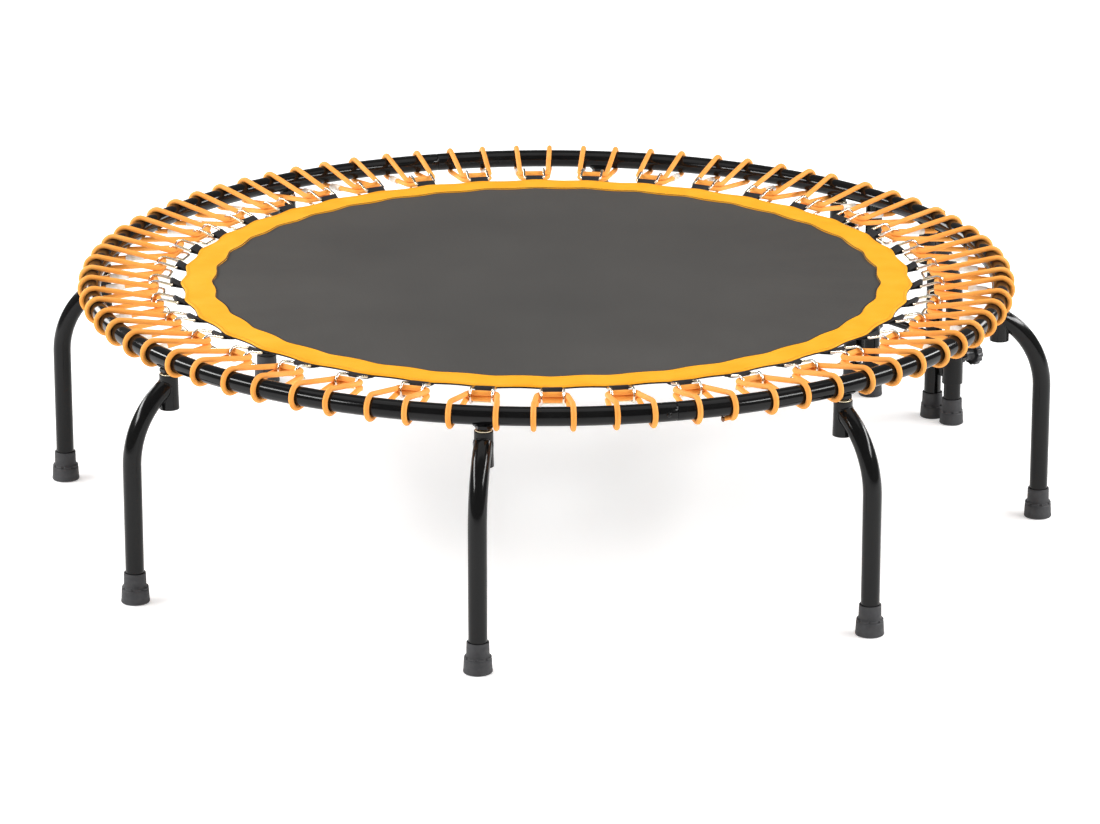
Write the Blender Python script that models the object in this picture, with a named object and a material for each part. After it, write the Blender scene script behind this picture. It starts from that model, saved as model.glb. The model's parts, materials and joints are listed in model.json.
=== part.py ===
"""Mini trampoline (rebounder): round tube ring on arched screw-on legs, a woven mat hung in it on
bungee loops, and the clamped base of a handlebar between two of the legs.

Units are metres, +Z is up.  The origin is on the floor under the centre of the ring.
Angles go round the ring from +X towards +Y; the front of the trampoline faces -Y.
"""
import math

import bmesh
import bpy
from mathutils import Matrix, Vector

# Ring
RING_RADIUS = 0.6225          # centre line of the ring tube
TUBE_RADIUS = 0.0125
RING_HEIGHT = 0.322           # centre line above the floor
SECTION_COUNT = 4
FIRST_SEAM = 285.2            # degrees
SECTION_STEPS = 15            # straight runs in one ring section
SPIGOT_RADIUS = 0.0097
SPIGOT_LENGTH = 0.040
BORE_RADIUS = 0.0101
BORE_LENGTH = 0.0445
BUTTON_RADIUS = 0.0036
BUTTON_PROUD = 0.0018
BUTTON_BACK = 1.1             # degrees from the seam to the snap button

# Legs
LEG_RADIUS = 0.0123
LEG_FIRST = 262.7             # degrees
LEG_PITCH = 45.0
PAIR_CENTRE = 37.7            # the pair of legs that carries the handlebar base
PAIR_HALF = 9.0
PAIR_SWIVEL = 14.2            # degrees a leg of the pair is turned on its stud
SIDE_LEG = 2                  # this leg also stands a little off its radial line
SIDE_SWIVEL = 12.0
BEND_RADIUS = 0.115
BEND_START = 60.6             # degrees of bend from the sleeve to the upright run
BEND_STEPS = 6
BEND_DROP = 0.135             # end of the bend below the ring's centre line
LEG_REACH = 0.0603            # from the stud to the foot
LEG_BOTTOM = 0.007
SLEEVE_TOP = 0.0205           # below the ring's centre line
SLEEVE_BOTTOM = 0.067
SLEEVE_RADIUS = 0.0127
SLEEVE_FLARE = 0.0134
STUD_RADIUS = 0.0050
STUD_LENGTH = 0.047           # from the ring's centre line to the stud's end
NUT_RADIUS = 0.0115

# Feet
FOOT_RADIUS = 0.0190
FOOT_HEIGHT = 0.041
FOOT_WALL = 0.0023
SMALL_FOOT = 0.92             # the feet of the pair and of the handlebar base are smaller

# Handlebar base
BASE_ANGLE = 39.0             # degrees
BASE_REACH = 0.672            # from the origin to the plane of the uprights
UPRIGHT_HALF = 0.0665         # half the distance between the uprights
UPRIGHT_RADIUS = 0.0122
UPRIGHT_TOP = 0.308
PLUG_HEIGHT = 0.004
CROSSBAR_RADIUS = 0.0056
CROSSBAR_HEIGHT = 0.123
CLAMP_RADIUS = 0.0150
CLAMP_LOW = 0.061
CLAMP_HIGH = 0.136
WEB_LOW = 0.066
WEB_HIGH = 0.132
WEB_THICKNESS = 0.004
SCREW_HEIGHT = 0.098
SCREW_RADIUS = 0.0038
CLAMP_NUT_RADIUS = 0.0115
CLAMP_NUT_END = 0.0205        # from the leg's centre line
KNOB_BOSS_RADIUS = 0.0095
KNOB_BOSS_END = 0.0350
KNOB_RADIUS = 0.0168
KNOB_THICKNESS = 0.0105
KNOB_LOBES = 12

# Mat and what hangs it in the ring
MAT_RADIUS = 0.4985
MAT_SIDES = 80
MAT_TOP = RING_HEIGHT - 0.0010
MAT_THICKNESS = 0.0020
BORDER_INNER = 0.4570
BORDER_OUTER = 0.5000
BORDER_THICKNESS = 0.0017
TAB_INNER = 0.4720
TAB_ROOT = 0.5000
TAB_OUTER = 0.5135
TAB_HALF = 0.0125
TAB_THICKNESS = 0.0025
CLIP_COUNT = 38
CLIP_FIRST = 261.0            # degrees
CLIP_DRIFT = ((1, 1.30, 26.6), (2, 0.96, 165.8))   # (waves round the ring, degrees, phase)
HOOK_INNER = 0.5143
HOOK_RIM = 0.5170
HOOK_RIM_LOW = 0.0035         # below the ring's centre line
HOOK_RIM_HIGH = -0.0003
HOOK_HALF = 0.0125
HOOK_WIRE = 0.0036            # thickness
HOOK_CURL = 0.0092            # radius of the curl, to the middle of the wire
CURL_CENTRE = 0.5345          # from the origin
CURL_DROP = 0.0015            # centre of the curl below the ring's centre line
CURL_STEPS = 5
CORD_RADIUS = 0.0035
CORD_SIDES = 4
CORD_AT_HOOK = 0.5350
CORD_TOP_DROP = -0.0024       # upper strand below the ring's centre line, at the hook
CORD_TOP_HALF = 0.0190        # and half the distance between its two bends there
CORD_LOW_DROP = 0.0046
CORD_LOW_HALF = 0.0170
WRAP_RADIUS = 0.0172
WRAP_HALF = 2.25              # degrees from the clip's centre line to each wrap
WRAP_STEPS = 4
NUT_ROOM = 1.55               # degrees kept between a wrap and a leg's nut
BUTTON_ROOM = 0.80            # and between a wrap and a snap button
CORD_SETS = 8

GAP = 0.0003                  # between two pieces that touch
TUBE_SIDES = 10


def clear_scene():
    for item in list(bpy.data.objects):
        bpy.data.objects.remove(item, do_unlink=True)


def make_material(name, colour, roughness, metallic=0.0):
    material = bpy.data.materials.new(name)
    material.use_nodes = True
    shader = material.node_tree.nodes["Principled BSDF"]
    shader.inputs["Base Color"].default_value = (*colour, 1.0)
    shader.inputs["Roughness"].default_value = roughness
    shader.inputs["Metallic"].default_value = metallic
    return material


def add_object(name, mesh, material, matrix=None):
    item = bpy.data.objects.new(name, mesh)
    bpy.context.collection.objects.link(item)
    if not mesh.materials:
        mesh.materials.append(material)
    if matrix is not None:
        item.matrix_world = matrix
    return item


def stations_to_mesh(name, stations, closed=False):
    """Skin a row of equal rings of points; the two ends are capped unless the row is closed."""
    bm = bmesh.new()
    rows = [[bm.verts.new(point) for point in ring] for ring in stations]
    count = len(rows[0])
    pairs = list(zip(rows, rows[1:]))
    if closed:
        pairs.append((rows[-1], rows[0]))
    for low, high in pairs:
        for i in range(count):
            j = (i + 1) % count
            bm.faces.new((low[i], low[j], high[j], high[i]))
    if not closed:
        bm.faces.new(reversed(rows[0]))
        bm.faces.new(rows[-1])
    bmesh.ops.recalc_face_normals(bm, faces=bm.faces)
    mesh = bpy.data.meshes.new(name)
    bm.to_mesh(mesh)
    bm.free()
    mesh.shade_smooth()
    mesh.set_sharp_from_angle(angle=math.radians(40))
    return mesh


def around(radius, sides):
    """Corner radius of a many-sided hole that clears a round of this radius."""
    return (radius + GAP) / math.cos(math.pi / sides)


def turned_mesh(name, circles, sides):
    """A body turned about Z through a row of (radius, height) circles, flat at both ends."""
    turns = [2 * math.pi * i / sides for i in range(sides)]
    stations = [[(r * math.cos(a), r * math.sin(a), z) for a in turns] for r, z in circles]
    return stations_to_mesh(name, stations)


def tube_mesh(name, path, radius, sides):
    """A round bar along a path of points, its section carried along without twisting."""
    points = [Vector(p) for p in path]
    runs = [(b - a).normalized() for a, b in zip(points, points[1:])]
    tangents = [runs[0]] + [(a + b).normalized() for a, b in zip(runs, runs[1:])] + [runs[-1]]
    side = tangents[0].orthogonal().normalized()
    stations = []
    for i, (point, tangent) in enumerate(zip(points, tangents)):
        side = (side - side.dot(tangent) * tangent).normalized()
        other = tangent.cross(side)
        run = runs[min(i, len(runs) - 1)]
        cosine = max(run.dot(tangent), 0.6)
        inwards = (run - run.dot(tangent) * tangent).normalized()
        ring = []
        for k in range(sides):
            turn = 2 * math.pi * k / sides
            arm = radius * (math.cos(turn) * side + math.sin(turn) * other)
            ring.append(point + arm + (1 / cosine - 1) * arm.dot(inwards) * inwards)
        stations.append(ring)
    return stations_to_mesh(name, stations)


def add_boolean(item, tool, operation):
    """Join or cut an object with a hidden tool object."""
    tool.hide_render = True
    tool.display_type = "WIRE"
    modifier = item.modifiers.new(operation.lower(), "BOOLEAN")
    modifier.operation = operation
    modifier.object = tool
    modifier.solver = "EXACT"


def evaluated_mesh(item):
    """The object's mesh with its modifiers in it, for copies to share."""
    bpy.context.view_layer.update()
    graph = bpy.context.evaluated_depsgraph_get()
    return bpy.data.meshes.new_from_object(item.evaluated_get(graph))


def turn_z(degrees):
    return Matrix.Rotation(math.radians(degrees), 4, "Z")


def on_ring(degrees, radius=RING_RADIUS, height=0.0):
    """A frame at a place round the ring, its X pointing outwards."""
    return turn_z(degrees) @ Matrix.Translation((radius, 0, height))


def clip_angles():
    """The clips' places: strung by hand, so their pitch drifts slowly round the ring."""
    angles = []
    for i in range(CLIP_COUNT):
        even = CLIP_FIRST + i * 360.0 / CLIP_COUNT
        drift = sum(size * math.cos(math.radians(waves * even - phase)) for waves, size, phase in CLIP_DRIFT)
        angles.append(even + drift)
    return angles


# ---------------------------------------------------------------- ring

def ring_section_mesh(name):
    """A quarter of the ring, with a spigot at its start and a bore for the next one at its end."""
    whole = 360.0 / SECTION_COUNT
    per_metre = math.degrees(1.0 / RING_RADIUS)
    end = whole - GAP * per_metre
    circles = [(-SPIGOT_LENGTH * per_metre, SPIGOT_RADIUS), (0.0, SPIGOT_RADIUS)]
    circles += [(end * i / SECTION_STEPS, TUBE_RADIUS) for i in range(SECTION_STEPS + 1)]
    circles += [(end, BORE_RADIUS), (end - BORE_LENGTH * per_metre, BORE_RADIUS)]
    stations = []
    for degrees, radius in circles:
        frame = on_ring(degrees)
        ring = []
        for k in range(TUBE_SIDES):
            turn = 2 * math.pi * (k + 0.5) / TUBE_SIDES
            ring.append(frame @ Vector((radius * math.cos(turn), 0, radius * math.sin(turn))))
        stations.append(ring)
    return stations_to_mesh(name, stations)


def build_ring(steel):
    whole = 360.0 / SECTION_COUNT
    clear = around(BUTTON_RADIUS, 8)
    hole = turned_mesh("button_hole", [(clear, 0.0), (clear, 0.012)], 8)
    button = turned_mesh("snap_button", [
        (BUTTON_RADIUS, BORE_RADIUS),
        (BUTTON_RADIUS, TUBE_RADIUS + 0.5 * BUTTON_PROUD),
        (0.6 * BUTTON_RADIUS, TUBE_RADIUS + BUTTON_PROUD),
    ], 8)
    outwards = Matrix.Rotation(math.radians(90), 4, "Y")
    section = ring_section_mesh("ring_section")
    at_button = on_ring(whole - BUTTON_BACK) @ outwards
    drill = add_object("button_drill", hole, steel, at_button @ Matrix.Translation((0, 0, 0.0055)))
    for i in range(SECTION_COUNT):
        start = FIRST_SEAM + i * whole
        frame = Matrix.Translation((0, 0, RING_HEIGHT)) @ turn_z(start)
        if i == 0:
            item = add_object("ring_section_1", section, steel)
            add_boolean(item, drill, "DIFFERENCE")
            drilled = evaluated_mesh(item)
            bpy.data.objects.remove(item, do_unlink=True)
            bpy.data.objects.remove(drill, do_unlink=True)
        add_object(f"ring_section_{i + 1}", drilled, steel, frame)
        add_object(f"snap_button_{i + 1}", button, steel, frame @ at_button)


# ---------------------------------------------------------------- legs

def stud_places():
    """(degrees round the ring, swivel on the stud, is a leg of the pair) for each leg in turn."""
    places = []
    for i in range(8):
        angle = LEG_FIRST + i * LEG_PITCH
        if abs((angle - PAIR_CENTRE) % 360.0) < 1.0:
            places += [(PAIR_CENTRE + side * PAIR_HALF, PAIR_SWIVEL, True) for side in (-1, 1)]
        else:
            places.append((angle, SIDE_SWIVEL if i == SIDE_LEG else 0.0, False))
    return places


def leg_frames():
    """(frame at the stud with X towards the foot, is a leg of the pair) for each leg in turn."""
    return [(on_ring(angle) @ turn_z(swivel), paired) for angle, swivel, paired in stud_places()]


def leg_mesh():
    """Arched tube joined to its sleeve, with a threaded hole for the stud; origin under the stud."""
    path = []
    for i in range(BEND_STEPS + 1):
        turn = math.radians(BEND_START * (1 - i / BEND_STEPS))
        x = LEG_REACH - BEND_RADIUS * (1 - math.cos(turn))
        path.append((x, 0, RING_HEIGHT - BEND_DROP + BEND_RADIUS * math.sin(turn)))
    path.append((LEG_REACH, 0, LEG_BOTTOM))
    leg = add_object("leg_blank", tube_mesh("leg_tube", path, LEG_RADIUS, TUBE_SIDES), None)
    top = RING_HEIGHT - SLEEVE_TOP
    low = RING_HEIGHT - SLEEVE_BOTTOM
    sleeve = add_object("sleeve_blank", turned_mesh("sleeve", [
        (SLEEVE_FLARE - 0.0025, low + 0.010),
        (SLEEVE_FLARE - 0.0025, low),
        (SLEEVE_FLARE, low),
        (SLEEVE_RADIUS, top - 0.010),
        (SLEEVE_RADIUS, top - 0.0015),
        (SLEEVE_RADIUS - 0.0015, top),
    ], 12), None)
    hole = add_object("thread_blank", turned_mesh("thread", [
        (around(STUD_RADIUS, 8), RING_HEIGHT - STUD_LENGTH - 0.001),
        (around(STUD_RADIUS, 8), RING_HEIGHT),
    ], 8), None)
    add_boolean(leg, sleeve, "UNION")
    add_boolean(leg, hole, "DIFFERENCE")
    mesh = evaluated_mesh(leg)
    for item in (leg, sleeve, hole):
        bpy.data.objects.remove(item, do_unlink=True)
    mesh.materials.clear()
    return mesh


def foot_mesh(scale):
    """A two-step rubber foot with a blind bore for the tube; origin on the floor."""
    outer = FOOT_RADIUS * scale
    tall = FOOT_HEIGHT * scale
    bore = around(LEG_RADIUS, 12)
    collar = LEG_RADIUS + FOOT_WALL
    return turned_mesh("foot", [
        (bore, LEG_BOTTOM - GAP),
        (bore, tall),
        (collar, tall),
        (collar + 0.0004, 0.55 * tall),
        (0.90 * outer, 0.52 * tall),
        (outer, 0.08 * tall),
        (outer - 0.0012, 0.0),
    ], 12)


def build_legs(steel, zinc, rubber):
    leg = leg_mesh()
    top = RING_HEIGHT - TUBE_RADIUS - GAP
    stud = turned_mesh("stud", [
        (NUT_RADIUS, top),
        (NUT_RADIUS, RING_HEIGHT - SLEEVE_TOP + GAP),
        (STUD_RADIUS, RING_HEIGHT - SLEEVE_TOP + GAP),
        (STUD_RADIUS, RING_HEIGHT - STUD_LENGTH),
    ], 8)
    feet = {False: foot_mesh(1.0), True: foot_mesh(SMALL_FOOT)}
    for number, (frame, in_pair) in enumerate(leg_frames(), start=1):
        add_object(f"leg_{number}", leg, steel, frame)
        add_object(f"leg_stud_{number}", stud, zinc, frame)
        at_foot = frame @ Matrix.Translation((LEG_REACH, 0, 0))
        add_object(f"leg_foot_{number}", feet[in_pair], rubber, at_foot)


# ---------------------------------------------------------------- handlebar base

def star_points(radius):
    """Outline of a lobed knob head, two points to a lobe and two to each hollow between lobes."""
    points = []
    for i in range(KNOB_LOBES):
        for part, size in ((-0.4, 1.0), (0.0, 1.02), (0.4, 1.0), (1.0, 0.94)):
            turn = 2 * math.pi * (i + part / 2) / KNOB_LOBES
            points.append((radius * size * math.cos(turn), radius * size * math.sin(turn)))
    return points


def knob_mesh():
    """Lobed head, round boss and screw, along Z away from the leg's centre line."""
    def scaled(outline, factor, z):
        return [(factor * x, factor * y, z) for x, y in outline]

    head = star_points(KNOB_RADIUS)
    count = len(head)
    turns = [math.atan2(y, x) for x, y in head]
    small = [(math.cos(a), math.sin(a)) for a in turns]
    start = KNOB_BOSS_END
    stations = [
        scaled(small, SCREW_RADIUS, LEG_RADIUS + GAP),
        scaled(small, SCREW_RADIUS, CLAMP_NUT_END + GAP),
        scaled(small, KNOB_BOSS_RADIUS, CLAMP_NUT_END + GAP),
        scaled(small, KNOB_BOSS_RADIUS, start),
        scaled(head, 0.96, start),
        scaled(head, 1.0, start + 0.0015),
        scaled(head, 1.0, start + KNOB_THICKNESS - 0.002),
        scaled(head, 0.93, start + KNOB_THICKNESS),
    ]
    assert all(len(ring) == count for ring in stations)
    return stations_to_mesh("knob", stations)


def clamp_mesh(side):
    """Sleeve round a leg with a web towards the upright; local X outwards, origin on the leg."""
    sleeve = add_object("clamp_blank", turned_mesh("clamp", [
        (CLAMP_RADIUS, CLAMP_LOW),
        (CLAMP_RADIUS, CLAMP_HIGH),
    ], 12), None)
    leg_x, leg_y, up_x, up_y = pair_places(side)
    across = Vector((up_x - leg_x, up_y - leg_y, 0))
    reach = across.length - UPRIGHT_RADIUS - GAP
    web_mesh = bpy.data.meshes.new("web")
    bm = bmesh.new()
    bmesh.ops.create_cube(bm, size=1.0)
    bmesh.ops.scale(bm, vec=(reach, WEB_THICKNESS, WEB_HIGH - WEB_LOW), verts=bm.verts)
    bmesh.ops.translate(bm, vec=(reach / 2, 0, (WEB_HIGH + WEB_LOW) / 2), verts=bm.verts)
    bm.to_mesh(web_mesh)
    bm.free()
    web = add_object("web_blank", web_mesh, None, turn_z(math.degrees(math.atan2(across.y, across.x))))
    outwards = Matrix.Translation((0, 0, SCREW_HEIGHT)) @ Matrix.Rotation(math.radians(90), 4, "Y")
    nut = add_object("nut_blank", turned_mesh("nut", [
        (CLAMP_NUT_RADIUS, 0.0),
        (CLAMP_NUT_RADIUS, CLAMP_NUT_END),
    ], 6), None, outwards)
    bore = add_object("bore_blank", turned_mesh("bore", [
        (around(LEG_RADIUS, 12), CLAMP_LOW - 0.01),
        (around(LEG_RADIUS, 12), CLAMP_HIGH + 0.01),
    ], 12), None)
    hole = add_object("hole_blank", turned_mesh("hole", [
        (around(SCREW_RADIUS, 12), 0.0),
        (around(SCREW_RADIUS, 12), CLAMP_NUT_END + 0.01),
    ], 12), None, outwards)
    for tool, operation in ((web, "UNION"), (nut, "UNION"), (bore, "DIFFERENCE"), (hole, "DIFFERENCE")):
        add_boolean(sleeve, tool, operation)
    mesh = evaluated_mesh(sleeve)
    for item in (sleeve, web, nut, bore, hole):
        bpy.data.objects.remove(item, do_unlink=True)
    mesh.materials.clear()
    return mesh


def pair_places(side):
    """Leg and upright of one side of the base, in its own frame: leg x, y, upright x, y."""
    foot = on_ring(PAIR_CENTRE + side * PAIR_HALF) @ turn_z(PAIR_SWIVEL) @ Vector((LEG_REACH, 0, 0))
    local = turn_z(-BASE_ANGLE) @ foot
    return local.x, local.y, BASE_REACH, side * UPRIGHT_HALF


def build_handlebar_base(steel, rubber, plastic):
    base = turn_z(BASE_ANGLE)
    upright = turned_mesh("upright", [(UPRIGHT_RADIUS, LEG_BOTTOM), (UPRIGHT_RADIUS, UPRIGHT_TOP)], TUBE_SIDES)
    plug = turned_mesh("plug", [
        (UPRIGHT_RADIUS, UPRIGHT_TOP + GAP),
        (UPRIGHT_RADIUS, UPRIGHT_TOP + 0.6 * PLUG_HEIGHT),
        (UPRIGHT_RADIUS - 0.003, UPRIGHT_TOP + PLUG_HEIGHT),
    ], TUBE_SIDES)
    foot = foot_mesh(SMALL_FOOT)
    knob = knob_mesh()
    outwards = Matrix.Translation((0, 0, SCREW_HEIGHT)) @ Matrix.Rotation(math.radians(90), 4, "Y")
    for number, side in ((1, -1), (2, 1)):
        leg_x, leg_y, up_x, up_y = pair_places(side)
        at_upright = base @ Matrix.Translation((up_x, up_y, 0))
        at_leg = base @ Matrix.Translation((leg_x, leg_y, 0))
        add_object(f"upright_{number}", upright, steel, at_upright)
        add_object(f"upright_plug_{number}", plug, plastic, at_upright)
        add_object(f"upright_foot_{number}", foot, rubber, at_upright)
        add_object(f"leg_clamp_{number}", clamp_mesh(side), steel, at_leg)
        add_object(f"star_knob_{number}", knob, plastic, at_leg @ outwards)
    half = UPRIGHT_HALF - UPRIGHT_RADIUS - GAP
    bar = turned_mesh("crossbar", [(CROSSBAR_RADIUS, -half), (CROSSBAR_RADIUS, half)], 8)
    along = Matrix.Translation((BASE_REACH, 0, CROSSBAR_HEIGHT)) @ Matrix.Rotation(math.radians(90), 4, "X")
    add_object("crossbar", bar, steel, base @ along)


# ---------------------------------------------------------------- mat

def flat_ring_mesh(name, inner, low, high, outer_at):
    """A flat ring between two heights; outer_at lists (degrees, outer radius) round it."""
    stations = []
    for degrees, outer in outer_at:
        frame = turn_z(degrees)
        corners = ((inner, low), (inner, high), (outer, high), (outer, low))
        stations.append([frame @ Vector((r, 0, z)) for r, z in corners])
    return stations_to_mesh(name, stations, closed=True)


def toothed(root, tip, half):
    """Outer edge with a square tooth at each clip: four points to a tooth."""
    edge = []
    for angle in clip_angles():
        at_root = math.degrees(math.asin(half / root))
        at_tip = math.degrees(math.asin(half / tip))
        edge += [(angle - at_root, root), (angle - at_tip, tip), (angle + at_tip, tip), (angle + at_root, root)]
    return edge


def build_mat(woven, webbing, black_webbing, zinc):
    disc = turned_mesh("mat", [(MAT_RADIUS, MAT_TOP - MAT_THICKNESS), (MAT_RADIUS, MAT_TOP)], MAT_SIDES)
    add_object("mat", disc, woven, turn_z(CLIP_FIRST))
    even = [(CLIP_FIRST + i * 360.0 / MAT_SIDES, BORDER_OUTER) for i in range(MAT_SIDES)]
    low = MAT_TOP + GAP
    border = flat_ring_mesh("border", BORDER_INNER, low, low + BORDER_THICKNESS, even)
    add_object("mat_border", border, webbing)
    high = MAT_TOP - MAT_THICKNESS - GAP
    tabs = flat_ring_mesh("tabs", TAB_INNER, high - TAB_THICKNESS, high, toothed(TAB_ROOT, TAB_OUTER, TAB_HALF))
    add_object("tab_ring", tabs, black_webbing)
    add_object("hook_ring", hook_ring_mesh(), zinc)


def hook_outline():
    """Side view of a hook, (distance from the origin, height): up from the rim and round a curl."""
    centre = (CURL_CENTRE, RING_HEIGHT - CURL_DROP)
    start = (HOOK_RIM - 0.0014, RING_HEIGHT - 0.5 * (HOOK_RIM_LOW + HOOK_RIM_HIGH))
    line = [start]
    for i in range(CURL_STEPS + 1):
        turn = math.radians(105 - 205 * i / CURL_STEPS)
        line.append((centre[0] + HOOK_CURL * math.cos(turn), centre[1] + HOOK_CURL * math.sin(turn)))
    line.append((CURL_CENTRE - 0.0100, centre[1] - HOOK_CURL - 0.0015))
    outer = []
    inner = []
    for i, (x, z) in enumerate(line):
        x0, z0 = line[max(i - 1, 0)]
        x1, z1 = line[min(i + 1, len(line) - 1)]
        run = math.hypot(x1 - x0, z1 - z0)
        across = (-(z1 - z0) / run * HOOK_WIRE / 2, (x1 - x0) / run * HOOK_WIRE / 2)
        outer.append((x + across[0], z + across[1]))
        inner.append((x - across[0], z - across[1]))
    return outer + inner[::-1]


def hook_ring_mesh():
    """The hooks' crossbars as one thin rim, with a curled hook on it at each clip."""
    low = RING_HEIGHT - HOOK_RIM_LOW
    high = RING_HEIGHT - HOOK_RIM_HIGH
    half = 180.0 / CLIP_COUNT
    edge = [(angle + turn, HOOK_RIM) for angle in clip_angles() for turn in (0.0, half)]
    rim = add_object("rim_blank", flat_ring_mesh("rim", HOOK_INNER, low, high, edge), None)
    outline = hook_outline()
    stations = [[(x, y, z) for x, z in outline] for y in (-HOOK_HALF, HOOK_HALF)]
    hook = stations_to_mesh("hook", stations)
    bm = bmesh.new()
    for angle in clip_angles():
        before = len(bm.verts)
        bm.from_mesh(hook)
        bmesh.ops.transform(bm, matrix=turn_z(angle), verts=list(bm.verts)[before:])
    hooks = bpy.data.meshes.new("hooks")
    bm.to_mesh(hooks)
    bm.free()
    tool = add_object("hooks_blank", hooks, None)
    add_boolean(rim, tool, "UNION")
    mesh = evaluated_mesh(rim)
    for item in (rim, tool):
        bpy.data.objects.remove(item, do_unlink=True)
    mesh.materials.clear()
    return mesh


# ---------------------------------------------------------------- bungee cords

def wrap_angle(degrees):
    """A wrap's place round the ring, moved aside where a leg's nut or a snap button is in its way."""
    whole = 360.0 / SECTION_COUNT
    in_the_way = [(FIRST_SEAM + whole * i - BUTTON_BACK, BUTTON_ROOM) for i in range(SECTION_COUNT)]
    in_the_way += [(angle, NUT_ROOM) for angle, _, _ in stud_places()]
    for place, room in in_the_way:
        off = (degrees - place + 180.0) % 360.0 - 180.0
        if abs(off) < room:
            return place + math.copysign(room, off)
    return degrees


def wrap_points(degrees, down):
    """Half a turn of cord round the outside of the ring tube, from its top down or from below up."""
    frame = on_ring(wrap_angle(degrees), RING_RADIUS, RING_HEIGHT)
    points = []
    for i in range(WRAP_STEPS + 1):
        turn = math.radians(90 - 180 * i / WRAP_STEPS)
        points.append(frame @ Vector((WRAP_RADIUS * math.cos(turn), 0, WRAP_RADIUS * math.sin(turn))))
    return points if down else points[::-1]


def bungee_points(angle):
    """One bungee: over the ring on its left, back through the hook, and up over the ring again."""
    def at_hook(across, drop):
        return turn_z(angle) @ Vector((CORD_AT_HOOK, across, RING_HEIGHT - drop))

    points = [at_hook(-CORD_TOP_HALF, CORD_TOP_DROP)]
    points += wrap_points(angle - WRAP_HALF, True)
    points += [at_hook(-CORD_LOW_HALF, CORD_LOW_DROP), at_hook(CORD_LOW_HALF, CORD_LOW_DROP)]
    points += wrap_points(angle + WRAP_HALF, False)
    points.append(at_hook(CORD_TOP_HALF, CORD_TOP_DROP))
    return points


def build_bungees(elastic):
    angles = clip_angles()
    starts = [i * CLIP_COUNT // CORD_SETS for i in range(CORD_SETS + 1)]
    for i in range(CORD_SETS):
        path = []
        for angle in angles[starts[i]:starts[i + 1]]:
            path += bungee_points(angle)
        add_object(f"bungee_set_{i + 1}", tube_mesh("bungee", path, CORD_RADIUS, CORD_SIDES), elastic)


def main():
    clear_scene()
    steel = make_material("black_steel", (0.012, 0.012, 0.013), 0.22)
    zinc = make_material("zinc", (0.72, 0.68, 0.58), 0.28, 1.0)
    rubber = make_material("rubber", (0.030, 0.030, 0.032), 0.75)
    plastic = make_material("black_plastic", (0.025, 0.025, 0.027), 0.45)
    woven = make_material("woven_mat", (0.085, 0.083, 0.078), 0.62)
    webbing = make_material("orange_webbing", (0.95, 0.42, 0.035), 0.70)
    black_webbing = make_material("black_webbing", (0.020, 0.020, 0.022), 0.75)
    elastic = make_material("orange_cord", (0.93, 0.36, 0.06), 0.60)
    build_ring(steel)
    build_legs(steel, zinc, rubber)
    build_handlebar_base(steel, rubber, plastic)
    build_mat(woven, webbing, black_webbing, zinc)
    build_bungees(elastic)


main()
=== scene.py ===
"""Looks of the mini trampoline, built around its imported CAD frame.

Metres, +Z up, origin on the floor under the ring's centre, front towards -Y.
"""

import json
import math
import random

import bpy
import numpy as np
from mathutils import Matrix, Vector


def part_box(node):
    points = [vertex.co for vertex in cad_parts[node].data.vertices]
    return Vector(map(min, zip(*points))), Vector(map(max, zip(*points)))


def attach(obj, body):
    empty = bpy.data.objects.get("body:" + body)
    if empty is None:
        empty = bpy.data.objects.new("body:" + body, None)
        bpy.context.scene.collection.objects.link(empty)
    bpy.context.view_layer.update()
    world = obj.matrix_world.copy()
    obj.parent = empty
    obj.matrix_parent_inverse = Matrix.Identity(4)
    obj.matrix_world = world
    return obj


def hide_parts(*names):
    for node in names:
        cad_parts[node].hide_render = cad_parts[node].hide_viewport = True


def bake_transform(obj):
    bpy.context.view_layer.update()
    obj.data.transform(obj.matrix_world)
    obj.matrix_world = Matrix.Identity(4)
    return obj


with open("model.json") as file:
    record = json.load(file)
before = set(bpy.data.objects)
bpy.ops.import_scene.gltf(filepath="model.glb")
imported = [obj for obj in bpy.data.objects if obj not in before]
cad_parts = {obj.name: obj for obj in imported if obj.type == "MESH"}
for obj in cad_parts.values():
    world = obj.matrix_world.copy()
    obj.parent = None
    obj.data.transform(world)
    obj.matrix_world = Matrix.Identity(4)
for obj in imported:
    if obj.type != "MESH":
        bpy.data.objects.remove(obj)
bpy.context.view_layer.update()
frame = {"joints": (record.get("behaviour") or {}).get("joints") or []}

# ---------------------------------------------------------------- sizes

# Ring: to the middle of the tube, which is cut in four; angles in degrees, anticlockwise from +X
RING_RADIUS = 0.6225
TUBE_RADIUS = 0.0125
RING_Z = sum(corner.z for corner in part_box("ring_section_1")) / 2
SEAM_ANGLE = 285.2
SECTIONS = 4
SEAM_GAP = 0.0002
BUTTON_BACK = 1.1             # degrees from a seam back to its snap button

# Legs: a bent tube welded to a sleeve that screws on a stud under the ring
LEG_RADIUS = 0.0123
LEG_COUNT = 9
PAIRED_LEGS = (4, 5)          # the two that carry the handlebar base
PAIRED_BOOT = 0.92            # size of their boots, and of the uprights', to the others
BEND_RADIUS = 0.115
BEND_START = 60.6
BEND_END_Z = RING_Z - 0.135
LEG_BOTTOM = 0.008
SLEEVE_TOP = RING_Z - 0.0200
SLEEVE_BOTTOM = RING_Z - 0.067
SLEEVE_RADIUS = 0.0125
SLEEVE_FLARE = 0.0133

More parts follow.
